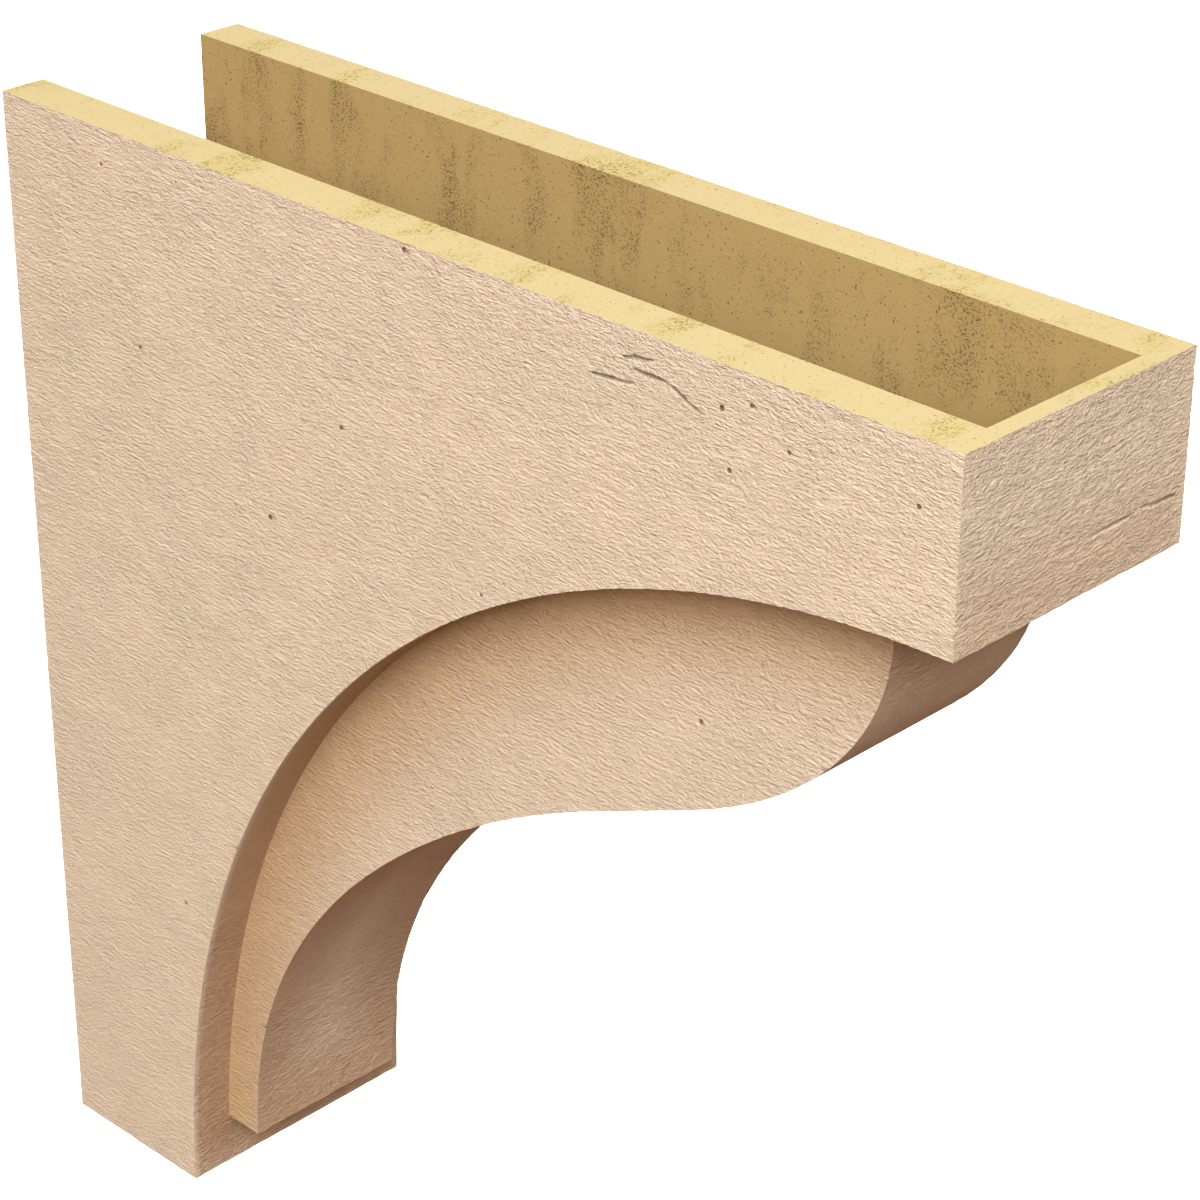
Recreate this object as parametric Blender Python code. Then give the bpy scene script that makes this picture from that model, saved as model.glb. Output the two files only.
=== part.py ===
"""A hollow moulded corbel: two thick cheeks with an arch cut under them, and between them a narrower
body whose underside sweeps out and ends in a round nose. It is open on top and at the back.

Metres, +Z up. X runs out from the wall, Y across the corbel. The origin lies on the back rim, at the
middle of the strip under the opening, which is where the corbel bears on the wall.
"""

import math

import bmesh
import bpy
from mathutils import Vector
from mathutils.geometry import interpolate_bezier

INCH = 0.0254

# Driving dimensions of the outside.
HEIGHT = 24 * INCH
DEPTH = HEIGHT
WIDTH = HEIGHT / 4
CHEEK = HEIGHT / 24
LEG_DEPTH = HEIGHT / 6
FASCIA_HEIGHT = 0.15 * HEIGHT

# The body between the cheeks stands out of the leg by one cheek's thickness.
BODY_WIDTH = WIDTH - 2 * CHEEK
BODY_FOOT_DEPTH = LEG_DEPTH + CHEEK
BODY_FOOT_HEIGHT = 0.05 * HEIGHT
NOSE_DEPTH = DEPTH - 2 * CHEEK

# The walls that the hollow leaves.
SKIN = 0.375 * INCH
BOTTOM_WALL = 1 * INCH
BODY_HOLLOW_WIDTH = BODY_WIDTH - 2 * SKIN

# How far the curves' handles reach, from each of their ends.
ARCH_RISE_HANDLE = 0.500 * HEIGHT
ARCH_FRONT_HANDLE = 0.462 * HEIGHT
SWEEP_RISE_HANDLE = 0.266 * HEIGHT
SWEEP_END_HANDLE = 0.195 * HEIGHT
NOSE_START_HANDLE = 0.133 * HEIGHT
NOSE_TOP_HANDLE = 0.080 * HEIGHT

# The straight stretch between the sweep and the nose, and where the nose turns upright.
SWEEP_END = Vector((0.635 * HEIGHT, 0.568 * HEIGHT))
NOSE_START = Vector((0.730 * HEIGHT, 0.6085 * HEIGHT))
NOSE_TOP = Vector((NOSE_DEPTH, 0.8215 * HEIGHT))
CURVE_STEPS = 40

# How far the body runs into the cheeks' block, and a hollow's cutter past an open face.
OVERLAP = 0.03
OPEN_PAST = 0.02
WELD = 0.00001

# The origin is this far above the underside, halfway up the bottom wall's rear face.
ORIGIN_ABOVE_UNDERSIDE = BOTTOM_WALL / 2

PRIMED_TAN = (0.74, 0.58, 0.43, 1.0)
BARE_FOAM = (0.86, 0.73, 0.37, 1.0)


def clear_scene():
    for obj in list(bpy.data.objects):
        bpy.data.objects.remove(obj, do_unlink=True)


def new_collection(name):
    collection = bpy.data.collections.new(name)
    bpy.context.scene.collection.children.link(collection)
    return collection


def matte_material(name, colour, roughness):
    material = bpy.data.materials.new(name)
    material.use_nodes = True
    shader = material.node_tree.nodes["Principled BSDF"]
    shader.inputs["Base Color"].default_value = colour
    shader.inputs["Roughness"].default_value = roughness
    shader.inputs["Metallic"].default_value = 0.0
    return material


def bezier(start, start_handle, end_handle, end):
    return interpolate_bezier(start, start_handle, end_handle, end, CURVE_STEPS + 1)


def arch():
    """The cheeks' lower edge, from the foot of the leg up and forward to the fascia's underside."""
    foot = Vector((LEG_DEPTH, 0))
    crown = Vector((DEPTH, HEIGHT - FASCIA_HEIGHT))
    rise = Vector((0, ARCH_RISE_HANDLE))
    reach = Vector((ARCH_FRONT_HANDLE, 0))
    return bezier(foot, foot + rise, crown - reach, crown)


def sweep_and_nose():
    """The body's lower edge: a hollow sweep, a short straight and a round nose that ends upright."""
    foot = Vector((BODY_FOOT_DEPTH, BODY_FOOT_HEIGHT))
    along = (NOSE_START - SWEEP_END).normalized()
    up = Vector((0, 1))
    sweep = bezier(foot, foot + up * SWEEP_RISE_HANDLE, SWEEP_END - along * SWEEP_END_HANDLE, SWEEP_END)
    nose = bezier(NOSE_START, NOSE_START + along * NOSE_START_HANDLE, NOSE_TOP - up * NOSE_TOP_HANDLE, NOSE_TOP)
    return sweep + nose


def inside(line, distance):
    """The line moved to its left, into the material, by the distance."""
    moved = []
    for i, point in enumerate(line):
        before = line[max(i - 1, 0)]
        after = line[min(i + 1, len(line) - 1)]
        along = (after - before).normalized()
        moved.append(point + Vector((-along.y, along.x)) * distance)
    return moved


def above(line, height):
    """The part of a rising line that lies above the height, cut where it crosses it."""
    kept = []
    for before, after in zip(line, line[1:]):
        if before.y < height < after.y:
            kept.append(before.lerp(after, (height - before.y) / (after.y - before.y)))
        if after.y > height:
            kept.append(after)
    return kept


def cheeks_outline():
    return [Vector((0, 0)), *arch(), Vector((DEPTH, HEIGHT)), Vector((0, HEIGHT))]


def body_outline():
    """The body's outline, carried up and back into the cheeks' block so that the two join."""
    top = HEIGHT - FASCIA_HEIGHT + OVERLAP
    rear = LEG_DEPTH - OVERLAP
    return [Vector((rear, BODY_FOOT_HEIGHT)), *sweep_and_nose(), Vector((NOSE_DEPTH, top)), Vector((rear, top))]


def cheek_hollow_outline():
    """The wide hollow between the cheeks, past the open top and the open back."""
    front = DEPTH - SKIN
    floor = [point for point in above(inside(arch(), SKIN), BOTTOM_WALL) if point.x < front]
    return [
        Vector((-OPEN_PAST, BOTTOM_WALL)),
        *floor,
        Vector((front, HEIGHT - FASCIA_HEIGHT + SKIN)),
        Vector((front, HEIGHT + OPEN_PAST)),
        Vector((-OPEN_PAST, HEIGHT + OPEN_PAST)),
    ]


def body_hollow_outline():
    """The narrower hollow inside the body, which opens into the wide one above and behind it."""
    bottom = BODY_FOOT_HEIGHT + SKIN
    past = 2 * OPEN_PAST
    return [
        Vector((-past, bottom)),
        *above(inside(sweep_and_nose(), SKIN), bottom),
        Vector((NOSE_DEPTH - SKIN, HEIGHT + past)),
        Vector((-past, HEIGHT + past)),
    ]


def prism(name, outline, width, material, collection):
    """A solid of that outline, drawn in X and Z, and of that width about the middle plane."""
    curve = bpy.data.curves.new(name, "CURVE")
    curve.dimensions = "2D"
    curve.fill_mode = "BOTH"
    curve.extrude = width / 2
    spline = curve.splines.new("POLY")
    spline.points.add(len(outline) - 1)
    for point, (x, z) in zip(spline.points, outline):
        point.co = (x, z, 0, 1)
    spline.use_cyclic_u = True
    drawn = bpy.data.objects.new(name + "_outline", curve)
    drawn.rotation_euler = (math.radians(90), 0, 0)
    drawn.location = (0, 0, -ORIGIN_ABOVE_UNDERSIDE)
    collection.objects.link(drawn)
    bpy.context.view_layer.update()

    evaluated = drawn.evaluated_get(bpy.context.evaluated_depsgraph_get())
    mesh = bpy.data.meshes.new_from_object(evaluated)
    mesh.name = name
    weld_caps(mesh)
    mesh.materials.append(material)
    solid = bpy.data.objects.new(name, mesh)
    solid.matrix_world = drawn.matrix_world
    collection.objects.link(solid)
    bpy.data.objects.remove(drawn)
    bpy.data.curves.remove(curve)
    return solid


def weld_caps(mesh):
    shape = bmesh.new()
    shape.from_mesh(mesh)
    bmesh.ops.remove_doubles(shape, verts=shape.verts, dist=WELD)
    bmesh.ops.recalc_face_normals(shape, faces=shape.faces)
    shape.to_mesh(mesh)
    shape.free()


def cutter(name, outline, width, material, collection):
    solid = prism(name, outline, width, material, collection)
    solid.hide_render = True
    solid.display_type = "WIRE"
    return solid


def combine(solid, other, operation):
    """A live Boolean; the faces that the other solid makes keep that solid's material."""
    step = solid.modifiers.new(other.name, "BOOLEAN")
    step.operation = operation
    step.solver = "EXACT"
    step.material_mode = "TRANSFER"
    step.object = other


def main():
    clear_scene()
    parts = new_collection("corbel")
    helpers = new_collection("helpers")
    primed = matte_material("primed_skin", PRIMED_TAN, 0.8)
    foam = matte_material("bare_foam", BARE_FOAM, 0.9)

    corbel = prism("corbel", cheeks_outline(), WIDTH, primed, parts)
    body = cutter("body", body_outline(), BODY_WIDTH, primed, helpers)
    cheek_hollow = cutter("cheek_hollow", cheek_hollow_outline(), BODY_WIDTH, foam, helpers)
    body_hollow = cutter("body_hollow", body_hollow_outline(), BODY_HOLLOW_WIDTH, foam, helpers)
    combine(corbel, body, "UNION")
    combine(corbel, cheek_hollow, "DIFFERENCE")
    combine(corbel, body_hollow, "DIFFERENCE")


main()
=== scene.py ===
# %% [markdown]
# # A hollow corbel, moulded to look like rough-sawn timber
# The real thing is one moulding of rigid foam. Two thick cheeks carry the outline, and a narrower body
# with a round nose stands between them. It is open on top and at the back, so that it can be slid over a
# timber block on the wall. Outside, the mould has given the foam a skin like rough-sawn timber, painted
# with a tan primer. The rim and the inside are bare yellow foam, full of small pores.
#
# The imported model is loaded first. It is the fixed frame: it says how big the corbel is and where.

# %% Load the frame and read the corbel's size from it
import math

import bpy
from mathutils import Matrix, Vector


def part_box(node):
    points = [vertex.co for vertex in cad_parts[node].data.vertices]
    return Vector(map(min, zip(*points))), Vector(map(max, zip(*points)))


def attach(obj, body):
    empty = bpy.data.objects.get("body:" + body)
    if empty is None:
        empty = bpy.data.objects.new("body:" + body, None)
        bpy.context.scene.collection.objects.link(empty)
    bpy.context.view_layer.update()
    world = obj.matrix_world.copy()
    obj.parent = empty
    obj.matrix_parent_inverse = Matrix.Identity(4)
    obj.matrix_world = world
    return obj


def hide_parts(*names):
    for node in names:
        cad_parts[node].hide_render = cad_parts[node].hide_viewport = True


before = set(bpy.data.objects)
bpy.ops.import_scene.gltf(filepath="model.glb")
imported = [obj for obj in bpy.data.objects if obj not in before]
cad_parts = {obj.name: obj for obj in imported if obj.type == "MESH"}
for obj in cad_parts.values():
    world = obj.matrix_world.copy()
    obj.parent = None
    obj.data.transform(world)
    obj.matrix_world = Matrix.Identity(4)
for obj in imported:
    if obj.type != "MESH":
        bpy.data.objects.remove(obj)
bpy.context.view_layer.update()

LOW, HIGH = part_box("corbel")
DEPTH = HIGH.x - LOW.x
WIDTH = HIGH.y - LOW.y
HEIGHT = HIGH.z - LOW.z
CHEEK = HEIGHT / 24
print(f"The corbel is {DEPTH:.4f} deep, {WIDTH:.4f} wide and {HEIGHT:.4f} high")

# %% [markdown]
# ## The camera
# A corbel is usually shown from above and from one front corner, so that the cheek, the fascia and the
# open top are all seen. The camera looks down by 27 degrees through a long lens, which keeps the upright
# edges nearly parallel. Its place is measured from the foot of the corbel's back.

# %% Place the camera
AZIMUTH = math.radians(44.199)
ELEVATION = math.radians(27.227)
ROLL = math.radians(0.221)
CAMERA_PLACE = Vector((1.34988, -1.03862, 1.16662)) + Vector((LOW.x, 0, LOW.z))

lens = bpy.data.cameras.new("camera")
lens.sensor_width = 36
lens.lens = 103.403
camera = bpy.data.objects.new("camera", lens)
turn = Matrix.Rotation(AZIMUTH, 4, "Z") @ Matrix.Rotation(math.radians(90) - ELEVATION, 4, "X")
camera.matrix_world = Matrix.Translation(CAMERA_PLACE) @ turn @ Matrix.Rotation(ROLL, 4, "Z")
bpy.context.scene.collection.objects.link(camera)
bpy.context.scene.camera = camera
print("Camera at", tuple(round(c, 3) for c in CAMERA_PLACE))

# %% [markdown]
# ## Helpers for node trees
# Both the shape and the finishes are node trees, so a few helpers come first. One adds a node and fills
# its inputs by name, with a plain value or with another node's output. Another opens a node group with
# named inputs and outputs. The rest are the sums that the trees need again and again.

# %% Helpers that build node trees
def add(tree, kind, settings=None, **values):
    """Adds a node and gives back its first output. Where inputs share a name, a list fills them in turn."""
    node = tree.nodes.new(kind)
    for name, value in (settings or {}).items():
        setattr(node, name, value)
    for name, given in values.items():
        sockets = [s for s in node.inputs if s.enabled and s.name == name.replace("_", " ")]
        if not sockets:
            raise ValueError(f"{kind} has no input {name}")
        for socket, value in zip(sockets, given if isinstance(given, list) else [given]):
            if isinstance(value, bpy.types.NodeSocket):
                tree.links.new(value, socket)
            else:
                socket.default_value = value
    return next(s for s in node.outputs if s.enabled)


def add_group(tree, group, **values):
    kind = "ShaderNodeGroup" if group.bl_idname == "ShaderNodeTree" else "GeometryNodeGroup"
    return add(tree, kind, {"node_tree": group}, **values)


def open_group(name, kind, inputs, outputs):
    """A new node group; gives back the tree, its inputs by name and its output node."""
    tree = bpy.data.node_groups.new(name, kind)
    for socket_name, socket_type in inputs.items():
        tree.interface.new_socket(socket_name, in_out="INPUT", socket_type="NodeSocket" + socket_type)
    for socket_name, socket_type in outputs.items():
        tree.interface.new_socket(socket_name, in_out="OUTPUT", socket_type="NodeSocket" + socket_type)
    given = {s.name: s for s in tree.nodes.new("NodeGroupInput").outputs}
    return tree, given, tree.nodes.new("NodeGroupOutput")


def math_node(tree, operation, *values):
    return add(tree, "ShaderNodeMath", {"operation": operation}, Value=list(values))


def vector_node(tree, operation, *values):
    return add(tree, "ShaderNodeVectorMath", {"operation": operation}, Vector=list(values))


def parts_of(tree, vector):
    return add(tree, "ShaderNodeSeparateXYZ", Vector=vector).node.outputs


def smooth_step(tree, value, start, end, to_start=0.0, to_end=1.0):
    """A soft step: to_start where the value is at start, to_end where it is at end."""
    return add(
        tree, "ShaderNodeMapRange", {"interpolation_type": "SMOOTHSTEP"},
        Value=value, From_Min=start, From_Max=end, To_Min=to_start, To_Max=to_end,
    )


def noise(tree, place, seed, detail=2.0, roughness=0.5):
    """Noise whose features are about one unit of the place across; each seed takes it from elsewhere."""
    seeds = add(tree, "ShaderNodeCombineXYZ", X=seed, Y=seed, Z=seed)
    moved = vector_node(tree, "MULTIPLY_ADD", seeds, (1.73, 2.91, 4.17), place)
    return add(tree, "ShaderNodeTexNoise", Vector=moved, Scale=1.0, Detail=detail, Roughness=roughness)


print("Helpers ready")

# %% [markdown]
# ## Blocks and bites
# A carver starts from a block and takes away what lies beyond a curve. The trees do the same. A block is
# a box whose faces are already a fine grid. A bite is everything beyond a curved edge, swept across the
# corbel, and a Boolean takes it off the block. That leaves small even faces everywhere, also along the
# curve, and the sawn relief that comes later can move them.
#
# The first group makes a block between two corners, with faces of about the given step.

# %% A group that makes a block with gridded faces
def block_group():
    tree, given, result = open_group(
        "gridded_block", "GeometryNodeTree",
        {"Low": "Vector", "High": "Vector", "Step": "Vector", "Material": "Material"}, {"Solid": "Geometry"},
    )
    size = vector_node(tree, "SUBTRACT", given["High"], given["Low"])
    cells = vector_node(tree, "CEIL", vector_node(tree, "DIVIDE", size, given["Step"]))
    corners = parts_of(tree, vector_node(tree, "ADD", cells, (1, 1, 1)))
    box = add(
        tree, "GeometryNodeMeshCube",
        Size=size, Vertices_X=corners["X"], Vertices_Y=corners["Y"], Vertices_Z=corners["Z"],
    )
    ends = vector_node(tree, "ADD", given["Low"], given["High"])
    middle = vector_node(tree, "MULTIPLY", ends, (0.5, 0.5, 0.5))
    placed = add(tree, "GeometryNodeTransform", Geometry=box, Translation=middle)
    finished = add(tree, "GeometryNodeSetMaterial", Geometry=placed, Material=given["Material"])
    tree.links.new(finished, result.inputs["Solid"])
    return tree


GRIDDED_BLOCK = block_group()
print("Group", GRIDDED_BLOCK.name, "made")

# %% [markdown]
# The second group makes a bite. It draws in X and Y, where a flat outline is easiest, and stands the
# solid up at the end. The curve runs outwards, with the material on its left. An inset moves it into the
# material, so the same curve also shapes the hollow, one skin further in. Straight stretches, well clear
# of the block, close the outline. The joint gap is how far apart two ends may lie and still be joined.

# %% A group that makes a bite beyond a curve
CLEAR = 0.02
JOINT_GAP = 0.0003


def bite_group():
    tree, given, result = open_group(
        "bite_beyond_curve", "GeometryNodeTree",
        {"Curve": "Geometry", "Inset": "Float", "Width": "Float", "Step": "Float", "Material": "Material"},
        {"Solid": "Geometry"},
    )
    stepped = add(tree, "GeometryNodeResampleCurve", {"mode": "EVALUATED"}, Curve=given["Curve"])
    left = vector_node(tree, "CROSS_PRODUCT", (0, 0, 1), add(tree, "GeometryNodeInputTangent"))
    shift = add(tree, "ShaderNodeVectorMath", {"operation": "SCALE"}, Vector=left, Scale=given["Inset"])
    edge = add(tree, "GeometryNodeSetPosition", Geometry=stepped, Offset=shift)

    whole = {"mode": "FACTOR", "use_all_curves": True}
    start = add(tree, "GeometryNodeSampleCurve", whole, Curves=edge, Factor=0.0).node.outputs["Position"]
    end = add(tree, "GeometryNodeSampleCurve", whole, Curves=edge, Factor=1.0).node.outputs["Position"]
    front = vector_node(tree, "ADD", end, (CLEAR, 0, 0))
    under = vector_node(tree, "SUBTRACT", start, (0, CLEAR, 0))
    corner = add(tree, "ShaderNodeCombineXYZ", X=parts_of(tree, front)["X"], Y=parts_of(tree, under)["Y"])
    stretches = tree.nodes.new("GeometryNodeJoinGeometry")
    for a, b in ((end, front), (front, corner), (corner, under), (under, start)):
        tree.links.new(add(tree, "GeometryNodeCurvePrimitiveLine", Start=a, End=b), stretches.inputs[0])
    tree.links.new(edge, stretches.inputs[0])

    wire = add(tree, "GeometryNodeCurveToMesh", Curve=stretches.outputs[0])
    closed = add(tree, "GeometryNodeMergeByDistance", Geometry=wire, Distance=JOINT_GAP)
    outline = add(tree, "GeometryNodeMeshToCurve", Mesh=closed)
    far = add(tree, "ShaderNodeCombineXYZ", Z=math_node(tree, "MULTIPLY", given["Width"], 0.5))
    near = vector_node(tree, "MULTIPLY", far, (0, 0, -1))
    line = add(tree, "GeometryNodeCurvePrimitiveLine", Start=near, End=far)
    steps = math_node(tree, "CEIL", math_node(tree, "DIVIDE", given["Width"], given["Step"]))
    count = math_node(tree, "ADD", steps, 1.0)
    across = add(tree, "GeometryNodeResampleCurve", {"mode": "COUNT"}, Curve=line, Count=count)
    swept = add(tree, "GeometryNodeCurveToMesh", Curve=across, Profile_Curve=outline, Fill_Caps=True)
    facing_out = add(tree, "GeometryNodeFlipFaces", Mesh=swept)
    upright = add(tree, "GeometryNodeTransform", Geometry=facing_out, Rotation=(math.radians(90), 0, 0))
    finished = add(tree, "GeometryNodeSetMaterial", Geometry=upright, Material=given["Material"])
    tree.links.new(finished, result.inputs["Solid"])
    return tree


BITE_BEYOND_CURVE = bite_group()
print("Group", BITE_BEYOND_CURVE.name, "made")

# %% [markdown]
# ## The moulding's shape
# Every point of the outline is a share of the corbel's depth and height, so the tree only needs the
# sizes. The arch under the cheeks is one Bezier stretch. The body's edge is a hollow sweep, a short
# straight and a round nose. The wide hollow between the cheeks takes a timber block, and a narrower one
# goes on into the body. The inside is smooth, so the hollows have coarser faces than the skin.

# %% A group that shapes the moulding
BODY_JOINT = 0.03
WELD = 0.00001
HOLLOW_STEP = 0.012

LEG = 1 / 6
UNDER_FASCIA = 0.85
BODY_LEG = 5 / 24
BODY_FOOT = 0.05
NOSE_FRONT = 22 / 24
SWEEP_END = (0.635, 0.568)
NOSE_START = (0.730, 0.6085)
CURVES = {
    "arch": [[(LEG, 0), (LEG, 0.5), (1 - 0.462, UNDER_FASCIA), (1, UNDER_FASCIA)]],
    "sweep_and_nose": [
        [(BODY_LEG, BODY_FOOT), (BODY_LEG, 0.316), (0.45562, 0.49153), SWEEP_END],
        [SWEEP_END, (0.66667, 0.5815), (0.69833, 0.5950), NOSE_START],
        [NOSE_START, (0.85235, 0.66066), (NOSE_FRONT, 0.7415), (NOSE_FRONT, 0.8215)],
    ],
}
LENGTH_PER_REACH = 0.8


def shape_group():
    tree, given, result = open_group(
        "corbel_shape", "GeometryNodeTree",
        {
            "Depth": "Float", "Width": "Float", "Height": "Float", "Cheek": "Float", "Skin": "Float",
            "Bottom Wall": "Float", "Column": "Float", "Row": "Float",
            "Skin Material": "Material", "Foam Material": "Material",
        },
        {"Solid": "Geometry"},
    )
    size = add(tree, "ShaderNodeCombineXYZ", X=given["Depth"], Y=given["Height"])
    body_width = math_node(tree, "SUBTRACT", given["Width"], math_node(tree, "MULTIPLY", given["Cheek"], 2.0))
    hollow_width = math_node(tree, "SUBTRACT", body_width, math_node(tree, "MULTIPLY", given["Skin"], 2.0))
    fine = add(tree, "ShaderNodeCombineXYZ", X=given["Column"], Y=given["Column"], Z=given["Row"])
    inward = math_node(tree, "MULTIPLY", given["Skin"], -1.0)
    skin, foam = given["Skin Material"], given["Foam Material"]

    def curve(name):
        """The curve's stretches, in steps of about one row; each is shorter than its handles reach."""
        joined = tree.nodes.new("GeometryNodeJoinGeometry")
        for shares in reversed(CURVES[name]):
            a, b, c, d = (vector_node(tree, "MULTIPLY", size, (*share, 0)) for share in shares)
            reach = sum(math.dist(p, q) for p, q in zip(shares, shares[1:]))
            length = math_node(tree, "MULTIPLY", given["Height"], LENGTH_PER_REACH * reach)
            steps = math_node(tree, "DIVIDE", length, given["Row"])
            stretch = add(
                tree, "GeometryNodeCurvePrimitiveBezierSegment", {"mode": "POSITION"},
                Resolution=steps, Start=a, Start_Handle=b, End_Handle=c, End=d,
            )
            tree.links.new(stretch, joined.inputs[0])
        return joined.outputs[0]

    def bite(name, inset, width, step, material):
        wider = math_node(tree, "ADD", width, CLEAR)
        return add_group(
            tree, BITE_BEYOND_CURVE,
            Curve=curve(name), Inset=inset, Width=wider, Step=step, Material=material,
        )

    def block(low, high, width, step, material):
        """A block between two corners of the side view, each a share of the size and a shift."""
        corners = []
        for (share_x, share_z, shift_x, shift_z), side in ((low, -0.5), (high, 0.5)):
            x = math_node(tree, "MULTIPLY_ADD", given["Depth"], share_x, shift_x)
            z = math_node(tree, "MULTIPLY_ADD", given["Height"], share_z, shift_z)
            y = math_node(tree, "MULTIPLY", width, side)
            corners.append(add(tree, "ShaderNodeCombineXYZ", X=x, Y=y, Z=z))
        return add_group(tree, GRIDDED_BLOCK, Low=corners[0], High=corners[1], Step=step, Material=material)

    def carve(operation, *solids):
        node = tree.nodes.new("GeometryNodeMeshBoolean")
        node.operation = operation
        node.solver = "MANIFOLD"
        if operation == "DIFFERENCE":
            tree.links.new(solids[0], node.inputs["Mesh 1"])
            solids = solids[1:]
        for solid in solids:
            tree.links.new(solid, node.inputs["Mesh 2"])
        return node.outputs["Mesh"]

    cheeks = carve(
        "DIFFERENCE", block((0, 0, 0.0, 0.0), (1, 1, 0.0, 0.0), given["Width"], fine, skin),
        bite("arch", 0.0, given["Width"], given["Column"], skin),
    )
    body = carve(
        "DIFFERENCE",
        block(
            (LEG, BODY_FOOT, -BODY_JOINT, 0.0), (NOSE_FRONT, UNDER_FASCIA, 0.0, BODY_JOINT),
            body_width, fine, skin,
        ),
        bite("sweep_and_nose", 0.0, body_width, given["Column"], skin),
    )
    coarse = Vector((HOLLOW_STEP,) * 3)
    wide_hollow = carve(
        "DIFFERENCE",
        block((0, 0, -CLEAR, given["Bottom Wall"]), (1, 1, inward, CLEAR), body_width, coarse, foam),
        bite("arch", given["Skin"], body_width, HOLLOW_STEP, foam),
    )
    narrow_hollow = carve(
        "DIFFERENCE",
        block(
            (0, BODY_FOOT, -2 * CLEAR, given["Skin"]), (NOSE_FRONT, 1, inward, 2 * CLEAR),
            hollow_width, coarse, foam,
        ),
        bite("sweep_and_nose", given["Skin"], hollow_width, HOLLOW_STEP, foam),
    )
    solid = carve("DIFFERENCE", carve("UNION", cheeks, body), wide_hollow, narrow_hollow)
    welded = add(tree, "GeometryNodeMergeByDistance", Geometry=solid, Distance=WELD)
    tree.links.new(add(tree, "GeometryNodeTriangulate", Mesh=welded), result.inputs["Solid"])
    return tree


CORBEL_SHAPE = shape_group()
print("Group", CORBEL_SHAPE.name, "made")

# %% [markdown]
# ## Where the foam is bare
# Whatever came from a hollow is bare foam, and so are the rim on top and the rear face, where the
# moulding was cut. The faces get this as an attribute while the shape is still exact. They also get one
# that says which way they look, because the grain runs outwards on the sides and across everywhere else.

# %% A group that marks the faces
STRAIGHT_ON = 0.9


def face_marks_group():
    tree, given, result = open_group(
        "face_marks", "GeometryNodeTree", {"Solid": "Geometry", "Height": "Float"}, {"Solid": "Geometry"},
    )
    place = parts_of(tree, add(tree, "GeometryNodeInputPosition"))
    facing = parts_of(tree, add(tree, "GeometryNodeInputNormal"))
    above = math_node(tree, "GREATER_THAN", place["Z"], math_node(tree, "SUBTRACT", given["Height"], WELD))
    top = math_node(tree, "MULTIPLY", above, math_node(tree, "GREATER_THAN", facing["Z"], STRAIGHT_ON))
    behind = math_node(tree, "LESS_THAN", place["X"], WELD)
    rear = math_node(tree, "MULTIPLY", behind, math_node(tree, "LESS_THAN", facing["X"], -STRAIGHT_ON))
    hollow = math_node(tree, "GREATER_THAN", add(tree, "GeometryNodeInputMaterialIndex"), 0.5)
    bare = math_node(tree, "MAXIMUM", hollow, math_node(tree, "MAXIMUM", top, rear))
    side = math_node(tree, "GREATER_THAN", math_node(tree, "ABSOLUTE", facing["Y"]), 0.5)
    marked = given["Solid"]
    for name, value in (("bare_face", bare), ("hollow_face", hollow), ("side_face", side)):
        marked = add(
            tree, "GeometryNodeStoreNamedAttribute", {"data_type": "FLOAT", "domain": "FACE"},
            Geometry=marked, Name=name, Value=value,
        )
    tree.links.new(marked, result.inputs["Solid"])
    return tree


FACE_MARKS = face_marks_group()


def named(tree, name):
    """A number that an earlier step has stored on the mesh."""
    return add(tree, "GeometryNodeInputNamedAttribute", {"data_type": "FLOAT"}, Name=name)


print("Group", FACE_MARKS.name, "made")

# %% [markdown]
# ## How near the arrises are
# Relief fades out at an arris, and painted shade darkens the skin near an inner corner. Both need the
# distance to the nearest edge of that kind, so one group picks the edges by their angle and measures it.

# %% A group that measures how near the arrises are
ARRIS_ANGLE = math.radians(30)


def arris_group():
    tree, given, result = open_group(
        "nearness_to_arrises", "GeometryNodeTree",
        {"Solid": "Geometry", "Reach": "Float", "Inner Only": "Float"}, {"Nearness": "Float"},
    )
    angle = tree.nodes.new("GeometryNodeInputMeshEdgeAngle").outputs
    sharp = math_node(tree, "GREATER_THAN", angle["Unsigned Angle"], ARRIS_ANGLE)
    folded_in = math_node(tree, "LESS_THAN", angle["Signed Angle"], -ARRIS_ANGLE)
    painted = math_node(tree, "LESS_THAN", named(tree, "bare_face"), 0.1)
    inner = math_node(tree, "MULTIPLY", folded_in, painted)
    chosen = add(
        tree, "ShaderNodeMix", {"data_type": "FLOAT"}, Factor=given["Inner Only"], A=sharp, B=inner,
    )
    lines = add(
        tree, "GeometryNodeSeparateGeometry", {"domain": "EDGE"}, Geometry=given["Solid"], Selection=chosen,
    )
    nearest = add(tree, "GeometryNodeProximity", {"target_element": "EDGES"}, Geometry=lines)
    far = nearest.node.outputs["Distance"]
    tree.links.new(smooth_step(tree, far, 0.0, given["Reach"], 1.0, 0.0), result.inputs["Nearness"])
    return tree


NEARNESS_TO_ARRISES = arris_group()
print("Group", NEARNESS_TO_ARRISES.name, "made")

# %% [markdown]
# ## The sawn relief
# The mould was taken from a rough-sawn board, so the skin carries what a saw leaves: fine grooves along
# the grain, torn spots in bands across it, and a slight waviness. The relief only goes inwards, because
# the solid is the board's full size. It fades out towards the arrises, where a little wear takes over.
# Noise is stretched along the grain by dividing the place by a length for each direction.
#
# Each kind of relief has its lengths in metres, its own seed, the stretch of the noise that becomes a
# step from 0 to 1, and how many finer layers it has. The fascia is torn all over, and a listed patch is
# torn fully at its core and not at all at its edge.

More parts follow.
